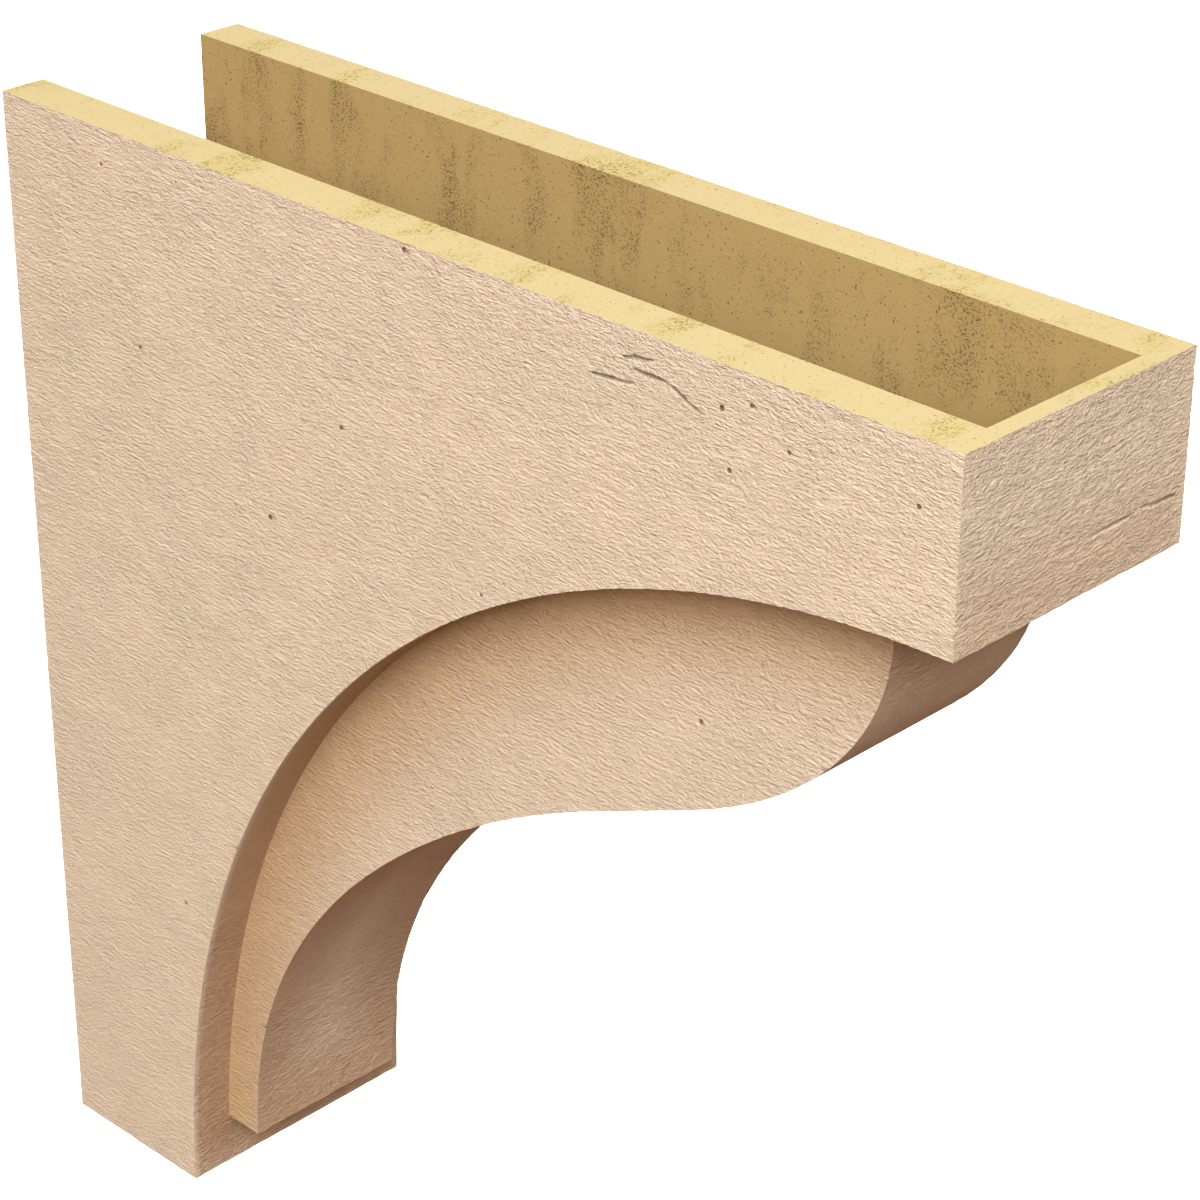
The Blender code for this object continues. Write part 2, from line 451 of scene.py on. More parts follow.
# %% A group that presses the relief into the skin
GROOVES = (Vector((0.014, 0.0036, 0.0036)), 0.0, 0.46, 0.76, 3.0)
TORN = (Vector((0.009, 0.0034, 0.0034)), 9.0, 0.46, 0.68, 4.0)
BANDS = (Vector((0.026, 0.150, 0.085)), 5.0, 0.48, 0.66, 2.0)
SWELLS = (Vector((0.110, 0.050, 0.060)), 13.0, 0.45, 0.75, 1.0)
CHIPS = (Vector((0.006, 0.006, 0.006)), 17.0, 0.45, 0.75, 3.0)
RELIEF_ROUGHNESS = 0.6
PATCH_CORE = 0.003
PATCH_EDGE = 0.013
TORN_ON_FASCIA = 1.3
FACES_FORWARD = 0.95
ARRIS_REACH = 0.0045


def relief_group():
    tree, given, result = open_group(
        "sawn_relief", "GeometryNodeTree",
        {
            "Solid": "Geometry", "Rough Patches": "Geometry", "Grain": "Float", "Tears": "Float",
            "Waves": "Float", "Arris Wear": "Float", "Seed": "Float",
        },
        {"Solid": "Geometry"},
    )
    place = add(tree, "GeometryNodeInputPosition")
    normal = add(tree, "GeometryNodeInputNormal")
    side = named(tree, "side_face")
    front = math_node(tree, "GREATER_THAN", parts_of(tree, normal)["X"], FACES_FORWARD)

    def pressed(lengths, seed, start, end, detail):
        """Noise from 0 to 1 with features of those lengths; off the sides X and Y swap places."""
        swapped = Vector((lengths.y, lengths.x, lengths.z))
        chosen = add(tree, "ShaderNodeMix", {"data_type": "VECTOR"}, Factor=side, A=swapped, B=lengths)
        own_seed = math_node(tree, "ADD", given["Seed"], seed)
        stretched = vector_node(tree, "DIVIDE", place, chosen)
        value = noise(tree, stretched, own_seed, detail, RELIEF_ROUGHNESS)
        return smooth_step(tree, value, start, end)

    near_patch = add(
        tree, "GeometryNodeProximity", {"target_element": "EDGES"}, Geometry=given["Rough Patches"],
    ).node.outputs["Distance"]
    in_patch = smooth_step(tree, near_patch, PATCH_EDGE, PATCH_CORE)
    torn = math_node(tree, "MAXIMUM", pressed(*BANDS), in_patch)
    torn = math_node(tree, "MAXIMUM", torn, math_node(tree, "MULTIPLY", front, TORN_ON_FASCIA))
    grain = math_node(tree, "MULTIPLY", pressed(*GROOVES), given["Grain"])
    tears = math_node(tree, "MULTIPLY", pressed(*TORN), given["Tears"])
    waves = math_node(tree, "MULTIPLY", pressed(*SWELLS), given["Waves"])
    wear = math_node(tree, "MULTIPLY", pressed(*CHIPS), given["Arris Wear"])

    nearness = add_group(tree, NEARNESS_TO_ARRISES, Solid=given["Solid"], Reach=ARRIS_REACH, Inner_Only=0.0)
    depth = math_node(tree, "MULTIPLY_ADD", tears, torn, math_node(tree, "ADD", grain, waves))
    depth = add(tree, "ShaderNodeMix", {"data_type": "FLOAT"}, Factor=nearness, A=depth, B=wear)
    depth = math_node(tree, "MULTIPLY", depth, math_node(tree, "SUBTRACT", 1.0, named(tree, "bare_face")))
    marked = given["Solid"]
    for name, value in (("relief_depth", depth), ("torn", torn), ("arris", nearness)):
        marked = add(
            tree, "GeometryNodeStoreNamedAttribute", {"data_type": "FLOAT", "domain": "POINT"},
            Geometry=marked, Name=name, Value=value,
        )
    angle = tree.nodes.new("GeometryNodeInputMeshEdgeAngle").outputs["Unsigned Angle"]
    marked = add(
        tree, "GeometryNodeStoreNamedAttribute", {"data_type": "BOOLEAN", "domain": "EDGE"},
        Geometry=marked, Name="sharp_edge", Value=math_node(tree, "GREATER_THAN", angle, ARRIS_ANGLE),
    )
    inwards = add(
        tree, "ShaderNodeVectorMath", {"operation": "SCALE"},
        Vector=normal, Scale=math_node(tree, "MULTIPLY", named(tree, "relief_depth"), -1.0),
    )
    moved = add(tree, "GeometryNodeSetPosition", Geometry=marked, Offset=inwards)
    tree.links.new(moved, result.inputs["Solid"])
    return tree


SAWN_RELIEF = relief_group()
print("Group", SAWN_RELIEF.name, "made")

# %% [markdown]
# ## Pinholes, gouges and rough patches
# The skin has a few marks of its own: round pinholes where air was caught in the mould, long shallow
# gouges, and patches where the saw tore the wood. They are listed by their place on a face, X and height
# or Y and height, measured from the foot of the back. The far cheek gets a few as well.
#
# Together they are one small mesh. A loose point is a pinhole, an edge is a gouge or a rough patch, and a
# number on the points says which.

# %% List the marks and make them one small mesh
PINHOLE, GOUGE, PATCH = 1, 2, 3
PINHOLES_RIGHT = [
    (0.2920, 0.6060), (0.2457, 0.5048), (0.0979, 0.5012), (0.0762, 0.5906), (0.1916, 0.4404),
    (0.3385, 0.4511), (0.5204, 0.5814), (0.5885, 0.5802), (0.1079, 0.1838), (0.4834, 0.5896),
    (0.4997, 0.5957), (0.4880, 0.5627),
]
PINHOLES_LEFT = [(0.1300, 0.4300), (0.3600, 0.5500), (0.5400, 0.5650), (0.0600, 0.2200)]
PINHOLES_BODY = [(0.4521, 0.4196)]
GOUGES_RIGHT = [
    [(0.4063, 0.5822), (0.4351, 0.5850)], [(0.4333, 0.5913), (0.4523, 0.5913)],
    [(0.4269, 0.5953), (0.4447, 0.5990)], [(0.4540, 0.5905), (0.4740, 0.5830)],
]
GOUGES_LEFT = [[(0.2100, 0.5200), (0.2400, 0.5230)], [(0.4700, 0.5500), (0.4950, 0.5520)]]
GOUGES_FRONT = [[(0.0105, 0.5440), (0.0415, 0.5445)], [(0.0440, 0.5450), (0.0725, 0.5425)]]
PATCHES_RIGHT = [
    [(0.0540, 0.6000), (0.0530, 0.5800)], [(0.1170, 0.6030), (0.1260, 0.5880)],
    [(0.1170, 0.5740), (0.1240, 0.5570)], [(0.2100, 0.6030), (0.2180, 0.5800)],
    [(0.2050, 0.5560), (0.2150, 0.5480)], [(0.2780, 0.5790), (0.2880, 0.5590)],
    [(0.4700, 0.5750), (0.4980, 0.5500)], [(0.5040, 0.6050), (0.5400, 0.5750)],
    [(0.3050, 0.5050), (0.3100, 0.4900)],
]
PATCHES_BODY = [[(0.5150, 0.4440), (0.5250, 0.4350)]]


def marks_mesh():
    side, body = WIDTH / 2, WIDTH / 2 - CHEEK
    points, edges, kinds = [], [], []
    for places, y in ((PINHOLES_RIGHT, -side), (PINHOLES_LEFT, side), (PINHOLES_BODY, -body)):
        points += [(x, y, z) for x, z in places]
        kinds += [PINHOLE] * len(places)
    lists = ((GOUGES_RIGHT, GOUGE, -side), (GOUGES_LEFT, GOUGE, side))
    lists += ((PATCHES_RIGHT, PATCH, -side), (PATCHES_BODY, PATCH, -body))
    strokes = [([(x, y, z) for x, z in line], kind) for lines, kind, y in lists for line in lines]
    strokes += [([(DEPTH, y, z) for y, z in line], GOUGE) for line in GOUGES_FRONT]
    for line, kind in strokes:
        edges.append((len(points), len(points) + 1))
        points += line
        kinds += [kind, kind]
    mesh = bpy.data.meshes.new("marks")
    mesh.from_pydata(points, edges, [])
    mesh.attributes.new("mark", "INT", "POINT").data.foreach_set("value", kinds)
    return mesh


MARKS = marks_mesh()
print(len(MARKS.vertices), "points and", len(MARKS.edges), "strokes")

# %% [markdown]
# Pinholes are cut with small balls and gouges with thin spindles, which follow their stroke with a slight
# wander. Both are centred on the surface, so that half of each cuts in. A number on the faces of each mark
# says how much painted shade darkens the finish inside it: fully in a pinhole, less in a gouge.

# %% A group that cuts the pinholes and gouges
SMALLEST_PINHOLE = 0.65
GOUGE_STEPS = 14
GOUGE_SIDES = 7
WANDER = 0.003
WANDER_LENGTH = (0.006, 0.006, 0.006)
BLUNTNESS = 0.4
SHARPEST_END = 0.02
DARK_PINHOLE = 1.0
DARK_GOUGE = 0.6


def marks_group():
    tree, given, result = open_group(
        "cut_marks", "GeometryNodeTree",
        {
            "Solid": "Geometry", "Pinholes": "Geometry", "Gouges": "Geometry", "Pinhole Radius": "Float",
            "Gouge Radius": "Float", "Seed": "Int", "Material": "Material",
        },
        {"Solid": "Geometry"},
    )

    def dug(geometry, value):
        """Stores how much painted shade darkens the finish inside every mark."""
        return add(
            tree, "GeometryNodeStoreNamedAttribute", {"data_type": "FLOAT", "domain": "FACE"},
            Geometry=geometry, Name="dug", Value=value,
        )

    ball = add(tree, "GeometryNodeMeshIcoSphere", Radius=1.0, Subdivisions=2)
    smallest = math_node(tree, "MULTIPLY", given["Pinhole Radius"], SMALLEST_PINHOLE)
    radius = add(
        tree, "FunctionNodeRandomValue", {"data_type": "FLOAT"},
        Min=smallest, Max=given["Pinhole Radius"], Seed=given["Seed"],
    )
    balls = add(tree, "GeometryNodeInstanceOnPoints", Points=given["Pinholes"], Instance=ball, Scale=radius)

    line = add(tree, "GeometryNodeMeshToCurve", Mesh=given["Gouges"])
    stepped = add(tree, "GeometryNodeResampleCurve", {"mode": "COUNT"}, Curve=line, Count=GOUGE_STEPS)
    place = vector_node(tree, "DIVIDE", add(tree, "GeometryNodeInputPosition"), WANDER_LENGTH)
    wander = add(tree, "ShaderNodeTexNoise", Vector=place, Scale=1.0, Detail=1.0).node.outputs["Color"]
    shift = vector_node(tree, "MULTIPLY_ADD", wander, (0.0, 0.0, WANDER), (0.0, 0.0, -WANDER / 2))
    wandered = add(tree, "GeometryNodeSetPosition", Geometry=stepped, Offset=shift)
    along = add(tree, "GeometryNodeSplineParameter")
    swell = math_node(tree, "SINE", math_node(tree, "MULTIPLY", along, math.pi))
    blunt = math_node(tree, "POWER", math_node(tree, "MAXIMUM", swell, SHARPEST_END), BLUNTNESS)
    thick = math_node(tree, "MULTIPLY", blunt, given["Gouge Radius"])
    ring = add(
        tree, "GeometryNodeCurvePrimitiveCircle", {"mode": "RADIUS"}, Resolution=GOUGE_SIDES, Radius=1.0,
    )
    spindles = add(
        tree, "GeometryNodeCurveToMesh", Curve=wandered, Profile_Curve=ring, Scale=thick, Fill_Caps=True,
    )

    cut = tree.nodes.new("GeometryNodeMeshBoolean")
    cut.operation = "DIFFERENCE"
    cut.solver = "MANIFOLD"
    tree.links.new(dug(given["Solid"], 0.0), cut.inputs["Mesh 1"])
    real_balls = add(tree, "GeometryNodeRealizeInstances", Geometry=balls)
    for tool, darkness in ((real_balls, DARK_PINHOLE), (spindles, DARK_GOUGE)):
        marked = dug(tool, darkness)
        finished = add(tree, "GeometryNodeSetMaterial", Geometry=marked, Material=given["Material"])
        tree.links.new(finished, cut.inputs["Mesh 2"])
    tree.links.new(add(tree, "GeometryNodeTriangulate", Mesh=cut.outputs["Mesh"]), result.inputs["Solid"])
    return tree


CUT_MARKS = marks_group()
print("Group", CUT_MARKS.name, "made")

# %% [markdown]
# ## The whole moulding
# The main tree puts the groups together: shape, face marks, relief, cut marks, and then the two finishes.
# Within the outer faces of the cheeks it also stores how near the inner corner under the arch is, for the
# painted shade that the skin gets there. The frame's origin is a little above the foot of the back, so the
# tree lowers the moulding by that much.

# %% Build the main tree
CHEEK_EDGE = 0.002


def moulding_tree():
    sizes = {
        "Depth": "Float", "Width": "Float", "Height": "Float", "Cheek": "Float", "Skin": "Float",
        "Bottom Wall": "Float", "Column": "Float", "Row": "Float",
    }
    relief = {"Grain": "Float", "Tears": "Float", "Waves": "Float", "Arris Wear": "Float", "Seed": "Int"}
    cuts = {"Pinhole Radius": "Float", "Gouge Radius": "Float"}
    rest = {
        "Corner Reach": "Float", "Lowered": "Float", "Skin Material": "Material", "Foam Material": "Material",
    }
    tree, given, result = open_group(
        "corbel_moulding", "GeometryNodeTree", {"Marks": "Geometry", **sizes, **relief, **cuts, **rest},
        {"Moulding": "Geometry"},
    )

    def passed_on(names):
        return {name.replace(" ", "_"): given[name] for name in names}

    shaped = add_group(tree, CORBEL_SHAPE, **passed_on([*sizes, "Skin Material", "Foam Material"]))
    marked = add_group(tree, FACE_MARKS, Solid=shaped, Height=given["Height"])
    kind = add(tree, "GeometryNodeInputNamedAttribute", {"data_type": "INT"}, Name="mark")
    marks = []
    for number in (PINHOLE, GOUGE, PATCH):
        chosen = add(
            tree, "FunctionNodeCompare", {"data_type": "INT", "operation": "EQUAL"}, A=kind, B=number,
        )
        marks.append(add(tree, "GeometryNodeSeparateGeometry", Geometry=given["Marks"], Selection=chosen))
    # How near the inner corner under the arch is, for the painted shade that the skin gets there.
    corner = add_group(tree, NEARNESS_TO_ARRISES, Solid=marked, Reach=given["Corner Reach"], Inner_Only=1.0)
    across = math_node(tree, "ABSOLUTE", parts_of(tree, add(tree, "GeometryNodeInputPosition"))["Y"])
    outer = math_node(tree, "SUBTRACT", math_node(tree, "MULTIPLY", given["Width"], 0.5), CHEEK_EDGE)
    corner = math_node(tree, "MULTIPLY", corner, math_node(tree, "LESS_THAN", across, outer))
    cornered = add(
        tree, "GeometryNodeStoreNamedAttribute", {"data_type": "FLOAT", "domain": "POINT"},
        Geometry=marked, Name="inner_corner", Value=corner,
    )
    pressed = add_group(tree, SAWN_RELIEF, Solid=cornered, Rough_Patches=marks[2], **passed_on(relief))
    cut = add_group(
        tree, CUT_MARKS, Solid=pressed, Pinholes=marks[0], Gouges=marks[1],
        Seed=given["Seed"], Material=given["Skin Material"], **passed_on(cuts),
    )
    drop = add(tree, "ShaderNodeCombineXYZ", Z=math_node(tree, "MULTIPLY", given["Lowered"], -1.0))
    lowered = add(tree, "GeometryNodeTransform", Geometry=cut, Translation=drop)
    smooth = add(tree, "GeometryNodeSetShadeSmooth", Geometry=lowered, Shade_Smooth=True)
    real = add(tree, "GeometryNodeRealizeInstances", Geometry=smooth)
    primed = add(tree, "GeometryNodeSetMaterial", Geometry=real, Material=given["Skin Material"])
    is_bare = math_node(tree, "GREATER_THAN", named(tree, "bare_face"), 0.5)
    finished = add(
        tree, "GeometryNodeSetMaterial",
        Geometry=primed, Selection=is_bare, Material=given["Foam Material"],
    )
    tree.links.new(finished, result.inputs["Moulding"])
    return tree


MOULDING_TREE = moulding_tree()
print("The main tree has", len(MOULDING_TREE.nodes), "nodes")

# %% [markdown]
# ## Grain for the finishes
# The mesh carries the coarse relief, and the finishes carry what is finer than its faces. One shader
# group makes noise that is stretched along the grain, and both finishes use it. The stored number
# `side_face` tells it which way the grain runs. Each grain is written as its lengths along and across in
# millimetres, its seed, where the step to 1 starts and ends, and the roughness of the noise.

# %% A shader group for stretched grain
GRAIN_DETAIL = 3.0


def grain_group():
    tree, given, result = open_group(
        "grain_noise", "ShaderNodeTree",
        {
            "Place": "Vector", "Side Face": "Float", "Along": "Float", "Across": "Float", "Seed": "Float",
            "Start": "Float", "End": "Float", "Roughness": "Float",
        },
        {"Value": "Float"},
    )
    on_side = add(tree, "ShaderNodeCombineXYZ", X=given["Along"], Y=given["Across"], Z=given["Across"])
    elsewhere = add(tree, "ShaderNodeCombineXYZ", X=given["Across"], Y=given["Along"], Z=given["Across"])
    lengths = add(
        tree, "ShaderNodeMix", {"data_type": "VECTOR"}, Factor=given["Side Face"], A=elsewhere, B=on_side,
    )
    in_mm = vector_node(tree, "MULTIPLY", given["Place"], (1000, 1000, 1000))
    stretched = vector_node(tree, "DIVIDE", in_mm, lengths)
    value = noise(tree, stretched, given["Seed"], GRAIN_DETAIL, given["Roughness"])
    tree.links.new(smooth_step(tree, value, given["Start"], given["End"]), result.inputs["Value"])
    return tree


GRAIN_NOISE = grain_group()
print("Group", GRAIN_NOISE.name, "made")

# %% Helpers that the finishes share
def stored(tree, name):
    """A number that the moulding's tree has left on the mesh."""
    return add(tree, "ShaderNodeAttribute", {"attribute_name": name}).node.outputs["Fac"]


def grain(tree, place, side, along, across, seed, start, end, roughness):
    return add_group(
        tree, GRAIN_NOISE, Place=place, Side_Face=side, Along=along, Across=across, Seed=seed,
        Start=start, End=end, Roughness=roughness,
    )


def colour_node(tree, blend, factor, first, second):
    first, second = ((*c, 1.0) if isinstance(c, tuple) else c for c in (first, second))
    settings = {"data_type": "RGBA", "blend_type": blend}
    return add(tree, "ShaderNodeMix", settings, Factor=factor, A=first, B=second)


def open_material(name):
    material = bpy.data.materials.new(name)
    material.use_nodes = True
    tree = material.node_tree
    place = tree.nodes.new("ShaderNodeTexCoord").outputs["Object"]
    return material, tree, tree.nodes["Principled BSDF"], place


def bump(tree, height, shader):
    """The height is in millimetres, so the bump's distance is one of them."""
    normal = add(tree, "ShaderNodeBump", Height=height, Strength=1.0, Distance=0.001)
    tree.links.new(normal, shader.inputs["Normal"])


print("Helpers ready")

# %% [markdown]
# ## The primed skin
# Primer is a thin, matte, tan coat that shows every groove. Its colour is darkened in the grooves, pits and
# torn spots as painted shade, and made lighter in patches along the arrises, partly as rubbed primer and
# partly as a painted edge highlight. Near the inner corner under the arch it is darkened and turned yellower
# as painted shade, and on the arch's own underside painted shade darkens it further. Inside the pinholes and
# gouges painted shade makes it darkest.
#
# The saw lines, the torn spots, the pits and a slight tooth, which is calmer in places, are bump: they
# are too small for the mesh. Their depths are in millimetres.

# %% The primed skin
PRIMER = (0.780, 0.650, 0.486)
PRIMER_PINK = (0.788, 0.654, 0.496)
# The next five colours are painted light: shade in the grooves, a highlight along the arrises that is partly
# rubbed primer, shade in the inner corner, shade under the arch and shade inside the marks.
GROOVE_SHADE_PAINTED = (0.880, 0.830, 0.780)
EDGE_HIGHLIGHT_AND_RUB = (0.830, 0.690, 0.500)
CORNER_SHADE_PAINTED = (0.800, 0.665, 0.486)
UNDER_ARCH_SHADE_PAINTED = (0.820, 0.765, 0.840)
HOLE_SHADE_PAINTED = (0.300, 0.230, 0.180)

SAW_LINES = (7.0, 1.5, 21.0, 0.34, 0.68, 0.62)
BROKEN = (4.2, 1.7, 29.0, 0.44, 0.70, 0.66)
TOOTH = (2.0, 1.2, 37.0, 0.28, 0.72, 0.66)
PITS = (2.6, 1.3, 43.0, 0.58, 0.66, 0.66)
CALM = (30.0, 20.0, 53.0, 0.42, 0.62, 0.5)
CLOUDS = (60.0, 45.0, 41.0, 0.35, 0.65, 0.5)
EDGE_HIGHLIGHT_PATCHES = (9.0, 5.0, 43.0, 0.45, 0.70, 0.5)
WORN = (25.0, 12.0, 47.0, 0.35, 0.65, 0.5)

BROKEN_LEVEL = 0.4
DARKER_IN_RELIEF = 60.0
DARKER_IN_PITS = 0.85
DARKER_IN_LINES = 0.45
DARKER_WHERE_TORN = 0.40
EDGE_HIGHLIGHT_SHARE = 0.25
SKIN_ROUGHNESS = 0.88
SKIN_SHINE = 0.35
DEPTHS = {"lines": 0.38, "torn": 0.46, "tooth": 0.58, "pits": 0.20}


def primed_skin():
    material, tree, shader, place = open_material("primed_skin_timber")
    side, torn = stored(tree, "side_face"), stored(tree, "torn")
    lines = grain(tree, place, side, *SAW_LINES)
    broken = grain(tree, place, side, *BROKEN)
    tooth = grain(tree, place, side, *TOOTH)
    pits = grain(tree, place, side, *PITS)
    calm = grain(tree, place, side, *CALM)
    strength = math_node(tree, "MULTIPLY_ADD", calm, -0.24, 1.04)
    tooth = math_node(tree, "MULTIPLY", math_node(tree, "SUBTRACT", tooth, 0.5), strength)
    torn_spots = math_node(tree, "MULTIPLY", math_node(tree, "SUBTRACT", broken, BROKEN_LEVEL), torn)

    colour = colour_node(tree, "MIX", grain(tree, place, side, *CLOUDS), PRIMER, PRIMER_PINK)
    # Painted shade: the colour is darker down in the relief, the pits, the torn spots and the saw lines.
    down = math_node(tree, "MULTIPLY", stored(tree, "relief_depth"), DARKER_IN_RELIEF)
    down = math_node(tree, "MULTIPLY_ADD", pits, DARKER_IN_PITS, down)
    down = math_node(tree, "MULTIPLY_ADD", torn_spots, DARKER_WHERE_TORN, down)
    down = math_node(tree, "MULTIPLY_ADD", lines, DARKER_IN_LINES, down)
    colour = colour_node(tree, "MULTIPLY", down, colour, GROOVE_SHADE_PAINTED)
    # Painted edge highlight, partly rubbed primer: lighter in patches near the arrises.
    edge_highlight_and_rub = math_node(tree, "MULTIPLY", stored(tree, "arris"), grain(tree, place, side, *EDGE_HIGHLIGHT_PATCHES))
    colour = colour_node(tree, "MIX", math_node(tree, "MULTIPLY", edge_highlight_and_rub, EDGE_HIGHLIGHT_SHARE), colour, EDGE_HIGHLIGHT_AND_RUB)
    # Painted shade: darker and yellower near the inner corner under the arch.
    corner = stored(tree, "inner_corner")
    colour = colour_node(tree, "MULTIPLY", corner, colour, CORNER_SHADE_PAINTED)
    # Painted shade: darker still on the arch's own underside.
    under = math_node(tree, "MULTIPLY", corner, math_node(tree, "SUBTRACT", 1.0, side))
    colour = colour_node(tree, "MULTIPLY", under, colour, UNDER_ARCH_SHADE_PAINTED)
    # Painted shade: darkest inside the pinholes and gouges.
    colour = colour_node(tree, "MULTIPLY", stored(tree, "dug"), colour, HOLE_SHADE_PAINTED)
    tree.links.new(colour, shader.inputs["Base Color"])

    worn = grain(tree, place, side, *WORN)
    tree.links.new(math_node(tree, "MULTIPLY_ADD", worn, -0.10, SKIN_ROUGHNESS), shader.inputs["Roughness"])
    shader.inputs["Specular IOR Level"].default_value = SKIN_SHINE

    height = math_node(tree, "MULTIPLY", lines, -DEPTHS["lines"])
    height = math_node(tree, "MULTIPLY_ADD", torn_spots, -DEPTHS["torn"], height)
    height = math_node(tree, "MULTIPLY_ADD", tooth, -DEPTHS["tooth"], height)
    height = math_node(tree, "MULTIPLY_ADD", pits, -DEPTHS["pits"], height)
    bump(tree, height, shader)
    return material


SKIN_MATERIAL = primed_skin()
print("Finish", SKIN_MATERIAL.name, "made")

# %% [markdown]
# ## Bare foam
# Cut rigid foam is a soft yellow, with lots of tiny open cells. They lie in clusters, in bands that cross the
# corbel: they follow Y on the rim and stand upright on the inner walls. A few loose cells are everywhere. The
# walls of the hollow are coloured a duller and browner yellow than the cut rim, which is painted shade deep
# in the hollow, and a cluster stains them a little.

# %% Bare foam
CUT_FOAM = (0.545, 0.440, 0.180)
PALE_FOAM = (0.556, 0.449, 0.220)
CUT_CELLS = (0.200, 0.155, 0.025)
# A darker, browner colour for the hollow's walls: painted shade deep in the hollow.
HOLLOW_WALL_SHADE_PAINTED = (0.410, 0.288, 0.112)
WALL_CELLS = (0.130, 0.060, 0.014)

CLUSTER_LENGTHS = (0.024, 0.045, 0.060)
CLUSTER_NOISE = (61.0, 5.0, 0.62)
CLUSTER_START, CLUSTER_END = 0.46, 0.72
CELLS = (1.5, 1.3, 67.0, 0.55, 0.61, 0.5)
LOOSE_CELLS = (1.5, 1.3, 71.0, 0.66, 0.71, 0.5)
FUZZ = (0.9, 0.9, 79.0, 0.30, 0.70, 0.5)

PALE_BELOW = 0.70
CELLS_ON_CUT = 0.70
CELLS_ON_WALL = 0.80
WALL_STAIN = 0.16
FOAM_ROUGHNESS = 0.93
FOAM_SHINE = 0.30
CELL_DEPTH = 0.30
FUZZ_DEPTH = 0.05


def bare_foam():
    material, tree, shader, place = open_material("bare_foam")
    hollow = stored(tree, "hollow_face")
    no_side = 0.0
    clusters = noise(tree, vector_node(tree, "DIVIDE", place, CLUSTER_LENGTHS), *CLUSTER_NOISE)
    clusters = smooth_step(tree, clusters, CLUSTER_START, CLUSTER_END)
    cells = grain(tree, place, no_side, *CELLS)
    loose = grain(tree, place, no_side, *LOOSE_CELLS)
    specks = math_node(tree, "MAXIMUM", math_node(tree, "MULTIPLY", cells, clusters), loose)

    pale = smooth_step(tree, clusters, PALE_BELOW, 0.0)
    cut = colour_node(tree, "MIX", pale, CUT_FOAM, PALE_FOAM)
    cut = colour_node(tree, "MIX", math_node(tree, "MULTIPLY", specks, CELLS_ON_CUT), cut, CUT_CELLS)
    stained = math_node(tree, "MULTIPLY", clusters, WALL_STAIN)
    # The walls start from their darker colour, painted shade in the hollow, with a little stain.
    wall = colour_node(tree, "MIX", stained, HOLLOW_WALL_SHADE_PAINTED, WALL_CELLS)
    wall = colour_node(tree, "MIX", math_node(tree, "MULTIPLY", specks, CELLS_ON_WALL), wall, WALL_CELLS)
    tree.links.new(colour_node(tree, "MIX", hollow, cut, wall), shader.inputs["Base Color"])

    tree.links.new(math_node(tree, "MULTIPLY_ADD", pale, -0.08, FOAM_ROUGHNESS), shader.inputs["Roughness"])
    shader.inputs["Specular IOR Level"].default_value = FOAM_SHINE
    height = math_node(tree, "MULTIPLY", grain(tree, place, no_side, *FUZZ), -FUZZ_DEPTH)
    bump(tree, math_node(tree, "MULTIPLY_ADD", specks, -CELL_DEPTH, height), shader)
    return material


FOAM_MATERIAL = bare_foam()
print("Finish", FOAM_MATERIAL.name, "made")

# %% [markdown]
# ## Make the corbel
# The mesh of marks goes in as the object's own mesh, and the modifier turns it into the moulding. Its
# inputs are set by their identifiers before the first evaluation. The result is kept as a plain mesh, so
# that nothing live is left. It stands for the frame's solid and rides on the frame's one body.
#
# All sizes are in metres. The skin is the wall of the body and of the fascia. Column and row are the
# sizes of a face along the grain and across it. The next four are how deep each kind of relief goes.

# %% Make the moulding and hand it to the frame
def make_moulding(values):
    moulding = bpy.data.objects.new("corbel_moulding", MARKS)
    bpy.context.scene.collection.objects.link(moulding)
    step = moulding.modifiers.new("moulding", "NODES")
    step.node_group = MOULDING_TREE
    for item in MOULDING_TREE.interface.items_tree:
        if item.in_out == "INPUT" and item.name in values:
            step[item.identifier] = values[item.name]
    evaluated = moulding.evaluated_get(bpy.context.evaluated_depsgraph_get())
    plain = bpy.data.meshes.new_from_object(evaluated)
    moulding.modifiers.remove(step)
    moulding.data = plain
    bpy.data.meshes.remove(MARKS)
    plain.name = "corbel_moulding"
    return moulding


moulding = make_moulding({
    "Depth": DEPTH, "Width": WIDTH, "Height": HEIGHT, "Cheek": CHEEK,
    "Skin": 0.009525, "Bottom Wall": 0.0254, "Column": 0.0048, "Row": 0.00165,
    "Grain": 0.00024, "Tears": 0.0004, "Waves": 0.0001, "Arris Wear": 0.0004, "Seed": 7,
    "Pinhole Radius": 0.0014, "Gouge Radius": 0.0008, "Corner Reach": 0.078, "Lowered": -LOW.z,
    "Skin Material": SKIN_MATERIAL, "Foam Material": FOAM_MATERIAL,
})
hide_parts("corbel")
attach(moulding, "root")
print(len(moulding.data.polygons), "triangles with", [m.name for m in moulding.data.materials])

# %% [markdown]
# ## Light and floor
# The corbel is lit as in a white studio: a bright dome whose underside is a warm brown, and one large
# soft lamp, high up on the right cheek's side. The lamp rakes over the fascia, so the relief shows most
# there. A weaker lamp behind, low on the other side, keeps the back and the far cheek from going dull.
# The floor lies well below, as under a corbel on a wall, and is plain white.
#
# The dome is a ramp of colours from straight below, 0, to straight above, 1. The camera sees it white.

# %% The dome
DOME = [
    (0.00, (0.210, 0.084, 0.034)), (0.52, (0.308, 0.150, 0.080)),
    (0.70, (0.850, 0.770, 0.710)), (1.00, (1.000, 1.000, 1.000)),
]
DOME_STRENGTH = 0.88


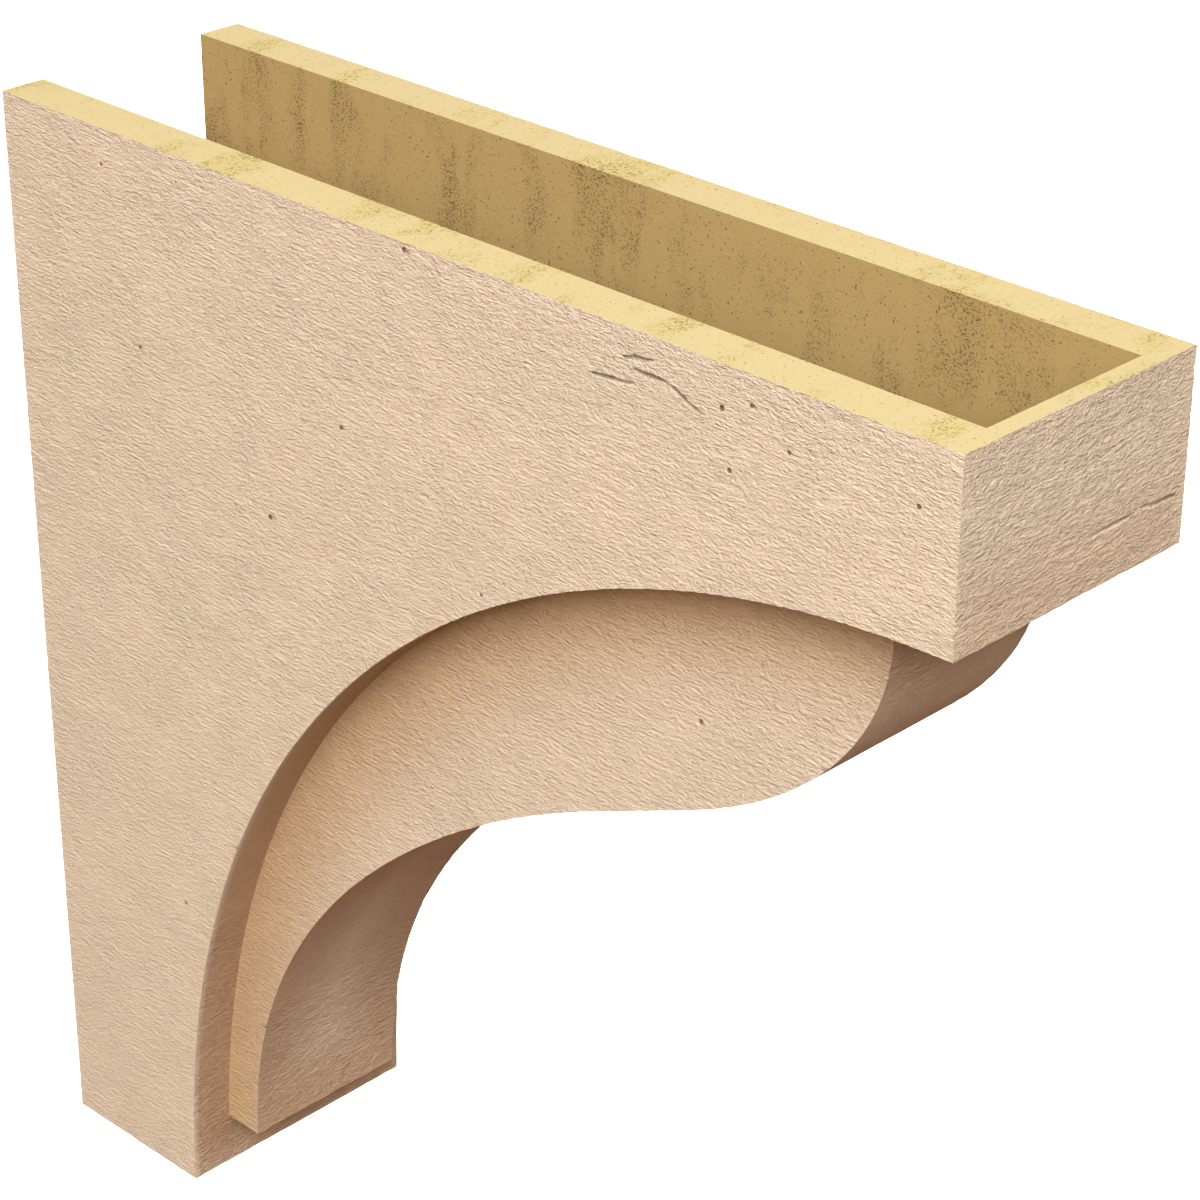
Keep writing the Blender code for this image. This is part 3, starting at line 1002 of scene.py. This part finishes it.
def studio_dome():
    world = bpy.data.worlds.new("studio_dome")
    world.use_nodes = True
    tree = world.node_tree
    tree.nodes.clear()
    height = parts_of(tree, tree.nodes.new("ShaderNodeTexCoord").outputs["Generated"])["Z"]
    dome = tree.nodes.new("ShaderNodeValToRGB")
    while len(dome.color_ramp.elements) < len(DOME):
        dome.color_ramp.elements.new(0.5)
    for element, (place, colour) in zip(dome.color_ramp.elements, DOME):
        element.position = place
        element.color = (*colour, 1.0)
    tree.links.new(math_node(tree, "MULTIPLY_ADD", height, 0.5, 0.5), dome.inputs["Fac"])
    ambient = add(tree, "ShaderNodeBackground", Color=dome.outputs["Color"], Strength=DOME_STRENGTH)
    white = add(tree, "ShaderNodeBackground", Color=(1, 1, 1, 1), Strength=1.0)
    seen = tree.nodes.new("ShaderNodeLightPath").outputs["Is Camera Ray"]
    both = add(tree, "ShaderNodeMixShader", Fac=seen, Shader=[ambient, white])
    tree.links.new(both, tree.nodes.new("ShaderNodeOutputWorld").inputs["Surface"])
    bpy.context.scene.world = world


studio_dome()
print("Dome ready")

# %% The lamps and the floor
LAMPS = {"soft_lamp": ((0.45, -0.59, 0.63), 475), "rear_fill": ((-0.66, 0.75, -0.06), 190)}
LAMP_REACH = 6.0
LAMP_SIZE = 3.6
FLOOR_HALF = 8.0
FLOOR_BELOW = 1.2
FLOOR_COLOUR = (0.9, 0.9, 0.9, 1.0)
FLOOR_GLOW = (1.0, 1.0, 1.0, 1.0)


def soft_lamp(name, away, power):
    """A large square lamp that looks at the corbel's middle from that direction."""
    away = Vector(away).normalized()
    light = bpy.data.lights.new(name, "AREA")
    light.size = LAMP_SIZE
    light.energy = power
    lamp = bpy.data.objects.new(name, light)
    lamp.location = (LOW + HIGH) / 2 + away * LAMP_REACH
    lamp.rotation_euler = away.to_track_quat("Z", "Y").to_euler()
    bpy.context.scene.collection.objects.link(lamp)


def pale_floor():
    level = LOW.z - FLOOR_BELOW
    turns = ((-1, -1), (1, -1), (1, 1), (-1, 1))
    corners = [(x * FLOOR_HALF, y * FLOOR_HALF, level) for x, y in turns]
    mesh = bpy.data.meshes.new("floor")
    mesh.from_pydata(corners, [], [(0, 1, 2, 3)])
    material = bpy.data.materials.new("pale_floor")
    material.use_nodes = True
    shader = material.node_tree.nodes["Principled BSDF"]
    shader.inputs["Base Color"].default_value = FLOOR_COLOUR
    shader.inputs["Emission Color"].default_value = FLOOR_GLOW
    shader.inputs["Emission Strength"].default_value = 1.0
    mesh.materials.append(material)
    floor = bpy.data.objects.new("floor", mesh)
    floor.visible_diffuse = False
    floor.visible_glossy = False
    bpy.context.scene.collection.objects.link(floor)
    return floor


for name, (away, power) in LAMPS.items():
    soft_lamp(name, away, power)
pale_floor()
bpy.context.scene.view_settings.view_transform = "Standard"
print("Lamps and floor ready")
